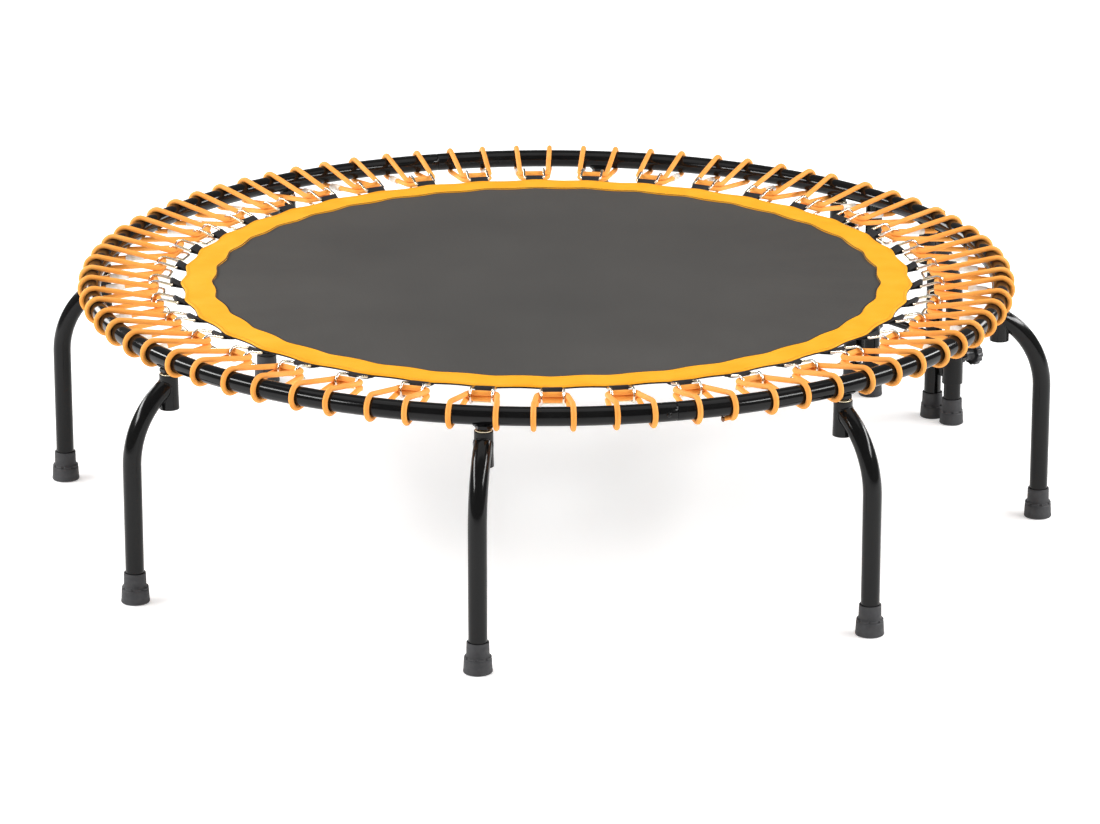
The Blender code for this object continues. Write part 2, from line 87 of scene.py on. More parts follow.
# Clips: one tab, hook and bungee each
CLIP_COUNT = 38
CLIP_FIRST = 261.0
CLIP_PITCH = 360.0 / CLIP_COUNT
CLIP_DRIFT = ((1, 1.30, 26.6), (2, 0.96, 165.8))     # waves round the ring, degrees, phase
CORD_SETS = 8                 # CAD nodes that the bungees are shared among
NUT_ROOM = 1.55               # degrees that a wrap keeps from a leg's nut, and from a snap button
BUTTON_ROOM = 0.80
CORD_RADIUS = 0.00355
WRAP_HALF = 2.25              # degrees from a hook to each of its two wraps
STRAND_RISE = 0.0036
TAIL_CLIP = 3

# Hooks: bent wire, (distance from the ring's axis, height) of the crossbar and of the curl's middle
HOOK_WIRE = 0.0019
HOOK_HALF = 0.0145
HOOK_BAR = (0.5128, RING_Z + 0.0004)
HOOK_CORNER = 0.0038
CURL_RADIUS = 0.0093
CURL_CENTRE = (0.5349, RING_Z - 0.0028)
CURL_TURN = 108               # degrees either way from the outermost point of the curl

# Mat
MAT_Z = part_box("mat")[1].z
MAT_LIMIT = 0.4990
MAT_THICKNESS = 0.0016
BAND_OUTER = 0.4965
BAND_INNER = 0.4535
BAND_FLOOR = MAT_Z - 0.0001

random.seed(7)


# ---------------------------------------------------------------- mesh helpers

def make_object(name, verts, faces, materials, matrix=None, face_slots=None, smooth=True):
    mesh = bpy.data.meshes.new(name)
    mesh.from_pydata([tuple(v) for v in verts], [], faces)
    mesh.validate()
    for material in materials if isinstance(materials, (list, tuple)) else [materials]:
        mesh.materials.append(material)
    if face_slots is not None:
        mesh.polygons.foreach_set("material_index", np.array(face_slots, dtype=np.int32))
    if smooth:
        mesh.shade_smooth()
        mesh.set_sharp_from_angle(angle=math.radians(38))
    return place(name, mesh, matrix)


def place(name, mesh, matrix=None):
    item = bpy.data.objects.new(name, mesh)
    bpy.context.scene.collection.objects.link(item)
    if matrix is not None:
        item.matrix_world = matrix
    return item


def skin(rows, closed=False):
    """Quads between equal rows of points, with a face over each end unless the last row meets the first."""
    count = len(rows[0])
    faces = []
    pairs = len(rows) if closed else len(rows) - 1
    for r in range(pairs):
        a = r * count
        b = ((r + 1) % len(rows)) * count
        for i in range(count):
            j = (i + 1) % count
            faces.append((a + i, a + j, b + j, b + i))
    if not closed:
        faces.append(tuple(reversed(range(count))))
        last = (len(rows) - 1) * count
        faces.append(tuple(last + i for i in range(count)))
    return faces


def sweep_rows(path, radius, sides, closed=False):
    """Round rows along a path, carried without twist.  radius is one number or one per point."""
    p = np.asarray(path, float)
    n = len(p)
    radii = np.broadcast_to(np.asarray(radius, float), (n,))
    if closed:
        t = np.roll(p, -1, 0) - np.roll(p, 1, 0)
    else:
        t = np.gradient(p, axis=0)
    t /= np.linalg.norm(t, axis=1)[:, None]
    side = np.cross(t[0], (0.0, 0.0, 1.0))
    if np.linalg.norm(side) < 1e-6:
        side = np.array((1.0, 0.0, 0.0))
    side /= np.linalg.norm(side)
    sides_of = []
    for i in range(n):
        side = side - side.dot(t[i]) * t[i]
        side = side / np.linalg.norm(side)
        sides_of.append(side)
    twist = 0.0
    if closed:
        back = side - side.dot(t[0]) * t[0]
        back /= np.linalg.norm(back)
        twist = math.atan2(np.cross(back, sides_of[0]).dot(t[0]), back.dot(sides_of[0]))
    turns = around(sides)
    rows = []
    for i in range(n):
        u = sides_of[i]
        v = np.cross(t[i], u)
        turn = turns + twist * i / n
        rows.append(p[i] + radii[i] * (np.cos(turn)[:, None] * u + np.sin(turn)[:, None] * v))
    return rows


def sweep(path, radius, sides, closed=False):
    rows = sweep_rows(path, radius, sides, closed)
    return np.concatenate(rows), skin(rows, closed)


def around(count):
    """Angles in radians of equal steps round a circle."""
    return 2 * math.pi * np.arange(count) / count


def level_ring(radius, z, turns):
    """A row of points round Z.  radius is one number or one for each of the turns."""
    return np.stack([radius * np.cos(turns), radius * np.sin(turns), np.full(len(turns), z)], 1)


def turned(profile, sides, closed=False):
    """Points (radius, z) turned round Z.  The ends are capped unless the profile is closed."""
    turns = around(sides)
    rows = [level_ring(r, z, turns) for r, z in profile]
    return np.concatenate(rows), skin(rows, closed)


def rounded(profile, size, steps=3):
    """The profile with each inner corner cut by a small arc."""
    points = [np.array(p, float) for p in profile]
    out = [points[0]]
    for a, b, c in zip(points, points[1:], points[2:]):
        to_a = (a - b) / max(np.linalg.norm(a - b), 1e-9)
        to_c = (c - b) / max(np.linalg.norm(c - b), 1e-9)
        reach = min(size, 0.45 * np.linalg.norm(a - b), 0.45 * np.linalg.norm(c - b))
        start, end = b + reach * to_a, b + reach * to_c
        for i in range(steps + 1):
            k = i / steps
            out.append((1 - k) ** 2 * start + 2 * k * (1 - k) * b + k ** 2 * end)
    out.append(points[-1])
    return [tuple(p) for p in out]


def joined(parts):
    """Verts, faces and slots of several (verts, faces, slot) parts as one mesh."""
    verts, faces, slots = [], [], []
    count = 0
    for part_verts, part_faces, slot in parts:
        verts.append(np.asarray(part_verts, float))
        faces += [tuple(i + count for i in face) for face in part_faces]
        slots += [slot] * len(part_faces)
        count += len(part_verts)
    return np.concatenate(verts), faces, slots


def turn_z(degrees):
    return Matrix.Rotation(math.radians(degrees), 4, "Z")


def centre_of(node):
    low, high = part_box(node)
    return (low + high) / 2


def bearing(node):
    """Degrees round the ring of a CAD node."""
    centre = centre_of(node)
    return math.degrees(math.atan2(centre.y, centre.x))


def clip_angle(number):
    """A clip's place: strung by hand, so the pitch drifts slowly round the ring."""
    even = CLIP_FIRST + number * CLIP_PITCH
    drift = [size * math.cos(math.radians(waves * even - phase)) for waves, size, phase in CLIP_DRIFT]
    return even + sum(drift)


CLIPS = [clip_angle(number) for number in range(CLIP_COUNT)]


def off_by(angle, other):
    """Degrees from the other angle to this one, -180 to 180."""
    return (angle - other + 180.0) % 360.0 - 180.0


def wrap_angle(degrees):
    """A wrap's place round the ring, moved aside where a leg's nut or a snap button is in its way."""
    in_the_way = [(bearing(f"snap_button_{i + 1}"), BUTTON_ROOM) for i in range(SECTIONS)]
    in_the_way += [(bearing(f"leg_stud_{i + 1}"), NUT_ROOM) for i in range(LEG_COUNT)]
    for place_at, room in in_the_way:
        off = off_by(degrees, place_at)
        if abs(off) < room:
            return place_at + math.copysign(room, off)
    return degrees


def show(piece, body, material_slot, *nodes):
    """Ride on a body and stand for CAD nodes; material_slot is not used."""
    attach(piece, body)
    if nodes:
        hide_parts(*nodes)
    return piece


# ---------------------------------------------------------------- materials

class Nodes:
    """A material's node tree, with short ways to add what the finishes share."""

    def __init__(self, name, colour, roughness, metallic=0.0):
        self.material = bpy.data.materials.new(name)
        self.material.use_nodes = True
        self.tree = self.material.node_tree
        self.shader = self.tree.nodes["Principled BSDF"]
        self.shader.inputs["Base Color"].default_value = (*colour, 1.0)
        self.shader.inputs["Roughness"].default_value = roughness
        self.shader.inputs["Metallic"].default_value = metallic
        self.place = self.add("ShaderNodeTexCoord").outputs["Object"]
        self.normal = None

    def add(self, kind, **settings):
        node = self.tree.nodes.new(kind)
        for key, value in settings.items():
            setattr(node, key, value)
        return node

    def link(self, source, target):
        self.tree.links.new(source, target)

    def maths(self, operation, *values):
        node = self.add("ShaderNodeMath", operation=operation)
        for socket, value in zip(node.inputs, values):
            if isinstance(value, (int, float)):
                socket.default_value = value
            else:
                self.link(value, socket)
        return node.outputs[0]

    def noise(self, scale, detail=2.0, rough=0.5, place=None):
        node = self.add("ShaderNodeTexNoise")
        self.link(self.place if place is None else place, node.inputs["Vector"])
        node.inputs["Scale"].default_value = scale
        node.inputs["Detail"].default_value = detail
        node.inputs["Roughness"].default_value = rough
        return node.outputs["Fac"]

    def ramp(self, factor, *stops):
        node = self.add("ShaderNodeValToRGB")
        self.link(factor, node.inputs["Fac"])
        elements = node.color_ramp.elements
        while len(elements) < len(stops):
            elements.new(0.5)
        for element, (position, colour) in zip(elements, stops):
            element.position = position
            element.color = (*colour, 1.0) if len(colour) == 3 else colour
        return node.outputs["Color"]

    def span(self, factor, low, high, start=0.0, end=1.0):
        node = self.add("ShaderNodeMapRange")
        self.link(factor, node.inputs["Value"])
        for key, value in (("From Min", start), ("From Max", end), ("To Min", low), ("To Max", high)):
            node.inputs[key].default_value = value
        return node.outputs["Result"]

    def bump(self, height, strength, distance):
        node = self.add("ShaderNodeBump")
        node.inputs["Strength"].default_value = strength
        node.inputs["Distance"].default_value = distance
        self.link(height, node.inputs["Height"])
        if self.normal is not None:
            self.link(self.normal, node.inputs["Normal"])
        self.normal = node.outputs["Normal"]
        self.link(self.normal, self.shader.inputs["Normal"])

    def colour(self, source):
        self.link(source, self.shader.inputs["Base Color"])

    def roughness(self, source):
        self.link(source, self.shader.inputs["Roughness"])

    def split(self):
        node = self.add("ShaderNodeSeparateXYZ")
        self.link(self.place, node.inputs[0])
        return node.outputs

    def polar(self):
        """Distance from the object's Z axis, and the angle round it in radians."""
        x, y, _ = self.split()
        squares = self.maths("MULTIPLY", x, x), self.maths("MULTIPLY", y, y)
        return self.maths("SQRT", self.maths("ADD", *squares)), self.maths("ARCTAN2", y, x)

    def shaded(self, base, shade):
        """The base colour darkened or lightened by a colour of painted shade and light, as the finish's
        colour.
        """
        mix = self.add("ShaderNodeMix", data_type="RGBA", blend_type="MULTIPLY")
        mix.inputs["Factor"].default_value = 1.0
        self.link(base, mix.inputs[6])
        self.link(shade, mix.inputs[7])
        self.colour(mix.outputs[2])


def gloss_black():
    m = Nodes("gloss_black_enamel", (0.005, 0.005, 0.005), 0.10)
    m.roughness(m.span(m.noise(45.0, 4.0), 0.07, 0.17, 0.3, 0.7))
    m.colour(m.ramp(m.noise(9.0, 3.0), (0.3, (0.0040, 0.0040, 0.0042)), (0.7, (0.0065, 0.0065, 0.0065))))
    m.shader.inputs["Specular IOR Level"].default_value = 0.22
    m.bump(m.noise(420.0, 1.0), 0.10, 0.0003)
    return m.material


def moulded_rubber():
    m = Nodes("moulded_rubber", (0.030, 0.030, 0.032), 0.6)
    m.colour(m.ramp(m.noise(60.0, 4.0), (0.3, (0.022, 0.022, 0.024)), (0.75, (0.040, 0.040, 0.043))))
    m.roughness(m.span(m.noise(180.0, 3.0), 0.48, 0.72, 0.3, 0.7))
    m.bump(m.noise(1400.0, 2.0), 0.25, 0.0002)
    return m.material


def satin_plastic():
    m = Nodes("satin_black_plastic", (0.020, 0.020, 0.022), 0.35)
    m.colour(m.ramp(m.noise(70.0, 3.0), (0.3, (0.016, 0.016, 0.018)), (0.7, (0.026, 0.026, 0.028))))
    m.roughness(m.span(m.noise(260.0, 3.0), 0.28, 0.46, 0.3, 0.7))
    m.bump(m.noise(1900.0, 1.0), 0.20, 0.00015)
    return m.material


def zinc_wire():
    m = Nodes("zinc_plated_wire", (0.75, 0.70, 0.60), 0.18, 1.0)
    tint = m.ramp(
        m.noise(38.0, 2.0),
        (0.30, (0.72, 0.71, 0.68)),
        (0.45, (0.76, 0.67, 0.46)),
        (0.60, (0.70, 0.56, 0.50)),
        (0.75, (0.55, 0.56, 0.38)),
    )
    m.colour(tint)
    m.roughness(m.span(m.noise(300.0, 3.0), 0.12, 0.30, 0.3, 0.7))
    m.bump(m.noise(900.0, 2.0), 0.10, 0.0001)
    return m.material


def woven_mat():
    """Tight plain weave: crossing rows of slit tape 1.7 mm wide."""
    m = Nodes("woven_mat_fabric", (0.08, 0.08, 0.078), 0.55)
    x, y, _ = m.split()
    pitch = 2 * math.pi / 0.0034
    warp = m.maths("SINE", m.maths("MULTIPLY", x, pitch))
    weft = m.maths("SINE", m.maths("MULTIPLY", y, pitch))
    cell = m.maths("MULTIPLY", warp, weft)
    height = m.maths("ABSOLUTE", cell)
    m.bump(height, 0.35, 0.0004)
    base = m.ramp(
        m.noise(3.2, 3.0, 0.55),
        (0.25, (0.052, 0.050, 0.047)),
        (0.55, (0.063, 0.060, 0.056)),
        (0.80, (0.074, 0.071, 0.067)),
    )
    # Painted sheen and shade: tape crowns crossing over one way are painted lighter, those crossing over the
    # other way darker.
    painted_weave_shading = m.span(cell, 0.0, 1.0, -1.0, 1.0)
    m.shaded(base, m.ramp(painted_weave_shading, (0.0, (0.86, 0.86, 0.86)), (1.0, (1.10, 1.10, 1.10))))
    m.roughness(m.span(cell, 0.42, 0.58, -1.0, 1.0))
    m.shader.inputs["Specular IOR Level"].default_value = 0.35
    return m.material


def webbing(name, colours, rib):
    """Webbing sewn round the mat, with a fine diagonal weave; rib is the weave's width in metres."""
    m = Nodes(name, colours[1], 0.7)
    distance, turn = m.polar()
    band_middle = 0.48
    along = m.maths("MULTIPLY", turn, band_middle)
    pitch = 2 * math.pi / rib
    slant = m.maths("ADD", m.maths("MULTIPLY", along, pitch), m.maths("MULTIPLY", distance, pitch))
    other = m.maths("SUBTRACT", m.maths("MULTIPLY", along, pitch), m.maths("MULTIPLY", distance, pitch))
    cell = m.maths("MULTIPLY", m.maths("SINE", slant), m.maths("SINE", other))
    m.bump(cell, 0.45, 0.0004)
    base = m.ramp(m.noise(22.0, 3.0), (0.3, colours[0]), (0.5, colours[1]), (0.72, colours[2]))
    # Painted shade: where the weave's bump is low, in its hollows, the webbing's colour is darkened.
    painted_weave_shading = m.span(cell, 0.0, 1.0, -1.0, 1.0)
    m.shaded(base, m.ramp(painted_weave_shading, (0.0, (0.90, 0.88, 0.84)), (0.6, (1.0, 1.0, 1.0))))
    m.roughness(m.span(cell, 0.80, 0.62, -1.0, 1.0))
    m.shader.inputs["Specular IOR Level"].default_value = 0.2
    return m.material


def braided_cord():
    """Elastic cord in a braided sleeve: fine crossing strands."""
    m = Nodes("braided_orange_cord", (1.0, 0.43, 0.06), 0.6)
    cells = m.add("ShaderNodeTexVoronoi", feature="F1")
    cells.inputs["Scale"].default_value = 1250.0
    m.link(m.place, cells.inputs["Vector"])
    m.bump(m.maths("SUBTRACT", 1.0, cells.outputs["Distance"]), 0.40, 0.0003)
    base = m.ramp(
        m.noise(24.0, 3.0),
        (0.30, (0.96, 0.37, 0.060)),
        (0.50, (1.0, 0.41, 0.078)),
        (0.72, (1.0, 0.46, 0.105)),
    )
    # Painted shade: towards the edges of the braid's cells, where the bump is low, the cord's colour is
    # darkened.
    m.shaded(base, m.ramp(cells.outputs["Distance"], (0.0, (1.0, 1.0, 1.0)), (0.9, (0.90, 0.86, 0.80))))
    m.roughness(m.span(cells.outputs["Distance"], 0.50, 0.72))
    m.shader.inputs["Specular IOR Level"].default_value = 0.25
    return m.material


def milky_sleeve():
    m = Nodes("milky_plastic_sleeve", (0.80, 0.78, 0.72), 0.3)
    m.colour(m.ramp(
        m.noise(120.0, 3.0),
        (0.30, (0.72, 0.62, 0.48)),
        (0.55, (0.82, 0.79, 0.73)),
        (0.75, (0.88, 0.88, 0.87)),
    ))
    m.roughness(m.span(m.noise(400.0, 2.0), 0.22, 0.42, 0.3, 0.7))
    m.shader.inputs["Subsurface Weight"].default_value = 0.15
    m.shader.inputs["Subsurface Radius"].default_value = (0.002, 0.002, 0.002)
    return m.material


def stitching(name, colours):
    m = Nodes(name, colours[0], 0.65)
    m.colour(m.ramp(m.noise(900.0, 2.0), (0.3, colours[0]), (0.7, colours[1])))
    m.bump(m.noise(2500.0, 2.0), 0.3, 0.0001)
    return m.material


def studio_floor():
    m = Nodes("studio_floor", (0.90, 0.90, 0.90), 0.7)
    m.colour(m.ramp(m.noise(1.5, 2.0), (0.3, (0.895, 0.895, 0.895)), (0.7, (0.905, 0.905, 0.905))))
    m.shader.inputs["Emission Color"].default_value = (1.0, 1.0, 1.0, 1.0)
    m.shader.inputs["Emission Strength"].default_value = 0.40
    return m.material


BLACK = gloss_black()
RUBBER = moulded_rubber()
PLASTIC = satin_plastic()
ZINC = zinc_wire()
MAT = woven_mat()
ORANGE = webbing(
    "orange_webbing_band",
    ((0.93, 0.385, 0.010), (0.96, 0.415, 0.015), (0.98, 0.45, 0.026)),
    0.0032,
)
BLACK_WEB = webbing(
    "black_webbing_tape",
    ((0.012, 0.012, 0.013), (0.018, 0.018, 0.020), (0.030, 0.030, 0.032)),
    0.0030,
)
CORD = braided_cord()
SLEEVE = milky_sleeve()
ORANGE_THREAD = stitching("orange_thread", ((0.90, 0.40, 0.010), (0.95, 0.46, 0.020)))
DARK_THREAD = stitching("dark_thread", ((0.016, 0.012, 0.012), (0.030, 0.022, 0.020)))
BURNT = stitching("melted_cord_end", ((0.16, 0.07, 0.03), (0.28, 0.13, 0.06)))


# ---------------------------------------------------------------- stage

def build_stage():
    half, level = 30, -0.0004
    verts = [(-half, -half, level), (half, -half, level), (half, half, level), (-half, half, level)]
    floor = make_object("studio_floor", verts, [(0, 1, 2, 3)], studio_floor(), smooth=False)
    world = bpy.data.worlds.new("studio")
    world.use_nodes = True
    sky = world.node_tree.nodes["Background"]
    sky.inputs["Color"].default_value = (1.0, 1.0, 1.0, 1.0)
    sky.inputs["Strength"].default_value = 0.20
    bpy.context.scene.world = world
    for name, place_at, size, power in (
        ("strip_left", (-3.3, -0.5, 2.1), (4.6, 0.45), 150),
        ("strip_right", (3.3, -0.5, 2.1), (4.6, 0.45), 150),
        ("back_left", (-2.7, 3.3, 1.5), (1.7, 0.9), 50),
        ("back_right", (3.2, 2.6, 1.5), (1.0, 0.6), 16),
        ("overhead", (0.0, -0.2, 3.8), (5.0, 3.0), 50),
    ):
        data = bpy.data.lights.new(name, "AREA")
        data.shape = "RECTANGLE"
        data.size, data.size_y = size
        data.energy = power
        lamp = bpy.data.objects.new(name, data)
        bpy.context.scene.collection.objects.link(lamp)
        lamp.location = place_at
        lamp.visible_camera = False
        aim = Vector((0, 0, 0.25)) - Vector(place_at)
        lamp.rotation_mode = "QUATERNION"
        lamp.rotation_quaternion = aim.to_track_quat("-Z", "Y")


def build_camera():
    data = bpy.data.cameras.new("camera")
    data.sensor_width = 36.0
    data.lens = 165.72
    data.clip_start = 0.1
    data.clip_end = 200.0
    camera = bpy.data.objects.new("camera", data)
    bpy.context.scene.collection.objects.link(camera)
    distance = 11.182 * RING_RADIUS
    elevation = math.radians(16.431)
    down = elevation + 0.02676
    yaw = 0.00075
    camera.location = (0.0, -distance * math.cos(elevation), RING_Z + distance * math.sin(elevation))
    forward = Vector((math.sin(yaw) * math.cos(down), math.cos(yaw) * math.cos(down), -math.sin(down)))
    camera.rotation_mode = "QUATERNION"
    camera.rotation_quaternion = forward.to_track_quat("-Z", "Y")
    bpy.context.scene.camera = camera
    bpy.context.scene.view_settings.view_transform = "Standard"


# ---------------------------------------------------------------- ring

def build_ring():
    """Four quarter sections with a rolled edge at each seam, and a snap button near it."""
    whole = 360.0 / SECTIONS
    per_metre = math.degrees(1.0 / RING_RADIUS)
    # Each end as (distance along the tube, radius)
    ends = ((0.0, 0.0100), (0.0, 0.0117), (0.0004, 0.0122), (0.0012, TUBE_RADIUS))
    start = [(SEAM_GAP / 2 + run, radius) for run, radius in ends]
    length = math.radians(whole) * RING_RADIUS
    middle = [(length * i / 150, TUBE_RADIUS) for i in range(2, 149)]
    stations = start + middle + [(length - run, radius) for run, radius in reversed(start)]
    turns = around(48)
    for i in range(SECTIONS):
        rows = []
        for run, radius in stations:
            angle = math.radians(run * per_metre + SEAM_ANGLE + i * whole)
            out = RING_RADIUS + radius * np.cos(turns)
            height = RING_Z + radius * np.sin(turns)
            rows.append(np.stack([out * math.cos(angle), out * math.sin(angle), height], 1))
        section = make_object(f"ring_tube_{i + 1}", np.concatenate(rows), skin(rows), BLACK)
        show(section, "frame", "black_steel", f"ring_section_{i + 1}")
    dome = [(0.0001, 0.0018), (0.0022, 0.0016), (0.0034, 0.0004), (0.0036, -0.002), (0.0001, -0.002)]
    button_verts, button_faces = turned(rounded(dome, 0.0006), 24)
    button = make_object("ring_button_1", button_verts, button_faces, BLACK)
    for i in range(SECTIONS):
        at_seam = Matrix.Translation((0, 0, RING_Z)) @ turn_z(SEAM_ANGLE + i * whole)
        stub = button if i == 0 else place(f"ring_button_{i + 1}", button.data)
        outwards = Matrix.Rotation(math.radians(90), 4, "Y")
        at_button = turn_z(whole - BUTTON_BACK) @ Matrix.Translation((RING_RADIUS + TUBE_RADIUS, 0, 0))
        stub.matrix_world = at_seam @ at_button @ outwards
        show(stub, "frame", "black_steel", f"snap_button_{i + 1}")


# ---------------------------------------------------------------- legs

def leg_frame(number):
    """Frame on the stud's axis at floor height, X towards the foot, and the reach to the foot."""
    stud = centre_of(f"leg_stud_{number}")
    foot = centre_of(f"leg_foot_{number}")
    across = Vector((foot.x - stud.x, foot.y - stud.y, 0))
    turn = math.degrees(math.atan2(across.y, across.x))
    return Matrix.Translation((stud.x, stud.y, 0)) @ turn_z(turn), across.length


def leg_path(reach):
    """Centre line of a leg from the sleeve, round its bend and down to the foot."""
    path = []
    for i in range(41):
        turn = math.radians(BEND_START * (1 - i / 40))
        x = reach - BEND_RADIUS * (1 - math.cos(turn))
        path.append((x, 0, BEND_END_Z + BEND_RADIUS * math.sin(turn)))
    for z in np.linspace(BEND_END_Z, LEG_BOTTOM, 12)[1:]:
        path.append((reach, 0, z))
    return path


def build_legs():
    _, reach = leg_frame(1)
    tube_verts, tube_faces = sweep(leg_path(reach), LEG_RADIUS, 40)
    sleeve_profile = rounded([
        (0.0001, SLEEVE_BOTTOM + 0.012),
        (SLEEVE_FLARE - 0.0016, SLEEVE_BOTTOM + 0.012),
        (SLEEVE_FLARE - 0.0014, SLEEVE_BOTTOM),
        (SLEEVE_FLARE, SLEEVE_BOTTOM),
        (SLEEVE_RADIUS + 0.0002, SLEEVE_BOTTOM + 0.018),
        (SLEEVE_RADIUS, SLEEVE_TOP - 0.004),
        (SLEEVE_RADIUS, SLEEVE_TOP),
        (SLEEVE_RADIUS - 0.0016, SLEEVE_TOP),
        (0.0001, SLEEVE_TOP),
    ], 0.0005)
    sleeve_verts, sleeve_faces = turned(sleeve_profile, 40)
    bead_verts, bead_faces = weld_bead(reach)
    verts, faces, _ = joined([
        (tube_verts, tube_faces, 0),
        (sleeve_verts, sleeve_faces, 0),
        (bead_verts, bead_faces, 0),
    ])
    leg = make_object("leg_tube_1", verts, faces, BLACK)
    nut = make_stud()
    collar = make_collar()
    saddle = make_saddle()
    foot = make_foot("leg_boot_1", 1.0)
    small = make_foot(f"leg_boot_{PAIRED_LEGS[0]}", PAIRED_BOOT)
    for number in range(1, LEG_COUNT + 1):
        at, reach = leg_frame(number)
        piece = leg if number == 1 else place(f"leg_tube_{number}", leg.data)
        piece.matrix_world = at
        show(piece, "frame", "black_steel", f"leg_{number}")
        stud = nut if number == 1 else place(f"leg_nut_{number}", nut.data)
        stud.matrix_world = at
        show(stud, "frame", "zinc", f"leg_stud_{number}")
        hexagon = collar if number == 1 else place(f"stud_collar_{number}", collar.data)
        hexagon.matrix_world = at
        show(hexagon, "frame", "black_steel")
        plate = saddle if number == 1 else place(f"ring_saddle_{number}", saddle.data)
        plate.matrix_world = turn_z(bearing(f"leg_stud_{number}")) @ Matrix.Translation((RING_RADIUS, 0, 0))
        show(plate, "frame", "black_steel")
        source = small if number in PAIRED_LEGS else foot
        boot = source if number in (1, PAIRED_LEGS[0]) else place(f"leg_boot_{number}", source.data)
        boot.matrix_world = at @ Matrix.Translation((reach, 0, 0))
        show(boot, "frame", "rubber", f"leg_foot_{number}")


def weld_bead(reach):
    """A rippled bead round the joint of the leg tube and its sleeve."""
    path = leg_path(reach)
    turn = math.radians(BEND_START - 6)
    tangent = np.array((math.sin(turn), 0, -math.cos(turn)))
    start = np.array(path[0])
    side = np.array((0, 1, 0))
    up = np.cross(tangent, side)
    points = []
    for i in range(72):
        a = 2 * math.pi * i / 72
        offset = LEG_RADIUS * (math.cos(a) * side + math.sin(a) * up)
        # Slide the ring point along the leg until it lies on the sleeve's surface.
        x0, y0 = start[0] + offset[0], offset[1]
        inside = max(SLEEVE_RADIUS ** 2 - y0 ** 2, (0.35 * SLEEVE_RADIUS) ** 2)
        slide = (math.sqrt(inside) - x0) / tangent[0]
        slide = min(max(slide, 0.002), 0.034)
        points.append(start + offset + slide * tangent)
    radii = 0.0010 + 0.0002 * np.abs(np.sin(np.arange(72) * math.pi / 3))
    return sweep(points, radii, 10, closed=True)


def make_stud():
    """Threaded stud between the ring and the sleeve, with a thin washer on the sleeve."""
    thread = []
    z = RING_Z - TUBE_RADIUS - 0.0004
    step = 0.0006
    while z > SLEEVE_TOP - 0.006:
        thread += [(0.0054, z), (0.0048, z - step / 2)]
        z -= step
    bar = (*turned([(0.0001, RING_Z - TUBE_RADIUS)] + thread + [(0.0001, z)], 24), 0)
    low = SLEEVE_TOP + 0.0001
    rim = rounded([(0.0056, low), (0.0112, low), (0.0112, low + 0.0014), (0.0056, low + 0.0014)], 0.0003)
    verts, faces, _ = joined([bar, (*turned(rim, 40, closed=True), 0)])
    return make_object("leg_nut_1", verts, faces, ZINC)


def make_collar():
    """Black hex nut welded under the ring's saddle."""
    top = RING_Z - TUBE_RADIUS + 0.0015
    low = SLEEVE_TOP + 0.0030
    turns = np.radians(30 + 60 * np.arange(6))
    rows = []
    for size, z in ((0.90, top), (1.0, top - 0.0010), (1.0, low + 0.0010), (0.90, low), (0.50, low)):
        rows.append(level_ring(0.0118 * size, z, turns))
    return make_object("stud_collar_1", np.concatenate(rows), skin(rows), BLACK)


def make_saddle():
    """Curved plate hugging the underside of the ring above a leg."""
    half_angle = math.radians(52)
    outer, inner = TUBE_RADIUS + 0.0018, TUBE_RADIUS + 0.0001
    arcs = np.linspace(-half_angle, half_angle, 21)
    across = [-math.pi / 2 + a for a in arcs]
    section = [(outer * math.cos(a), outer * math.sin(a)) for a in across]
    section += [(inner * math.cos(a), inner * math.sin(a)) for a in reversed(across)]
    half_length = 0.0128
    rows = []
    for y in np.linspace(-half_length, half_length, 9):
        edge = 1 - (abs(y) / half_length) ** 6 * 0.10
        bend = RING_RADIUS - math.sqrt(RING_RADIUS ** 2 - y * y)
        rows.append(np.array([(x * edge - bend, y, RING_Z + z) for x, z in section]))
    return make_object("ring_saddle_1", np.concatenate(rows), skin(rows), BLACK)


def make_foot(name, scale):
    """Two-step rubber boot: a thin collar, a notched ledge and a flared base with a rounded rim."""
    tall = 0.041 * scale
    outer = 0.0190 * scale
    bore = LEG_RADIUS + 0.0002
    collar = LEG_RADIUS + 0.0022
    # (radius, height, 1 where the notches cut in)
    profile = [
        (0.0001, 0.0060, 0), (bore, 0.0060, 0), (bore, tall - 0.0005, 0), (bore + 0.0005, tall, 0),
        (collar - 0.0003, tall, 0), (collar, tall - 0.0005, 0), (collar + 0.0001, tall - 0.0016, 0),
        (collar + 0.0004, 0.60 * tall, 0), (collar + 0.0012, 0.545 * tall, 0),
        (0.905 * outer, 0.535 * tall, 1), (0.925 * outer, 0.525 * tall, 1), (0.930 * outer, 0.510 * tall, 1),
        (0.930 * outer, 0.480 * tall, 1), (0.905 * outer, 0.470 * tall, 0), (0.905 * outer, 0.455 * tall, 0),
        (0.938 * outer, 0.440 * tall, 0), (0.948 * outer, 0.425 * tall, 0), (0.970 * outer, 0.200 * tall, 0),
        (0.980 * outer, 0.110 * tall, 0), (0.996 * outer, 0.085 * tall, 0), (outer, 0.060 * tall, 0),
        (outer, 0.030 * tall, 0), (outer - 0.0006, 0.008 * tall, 0), (outer - 0.0016, 0.0, 0),
        (0.6 * outer, 0.0, 0), (0.0001, 0.0004, 0),
    ]
    turns = around(96)
    notches, notch_depth = 8, 0.0016 * scale
    gap = (np.cos(turns * notches) > 0.55).astype(float)
    rows = [level_ring(r - notch_depth * notched * gap, z, turns) for r, z, notched in profile]
    return make_object(name, np.concatenate(rows), skin(rows), RUBBER)


# ---------------------------------------------------------------- handlebar base

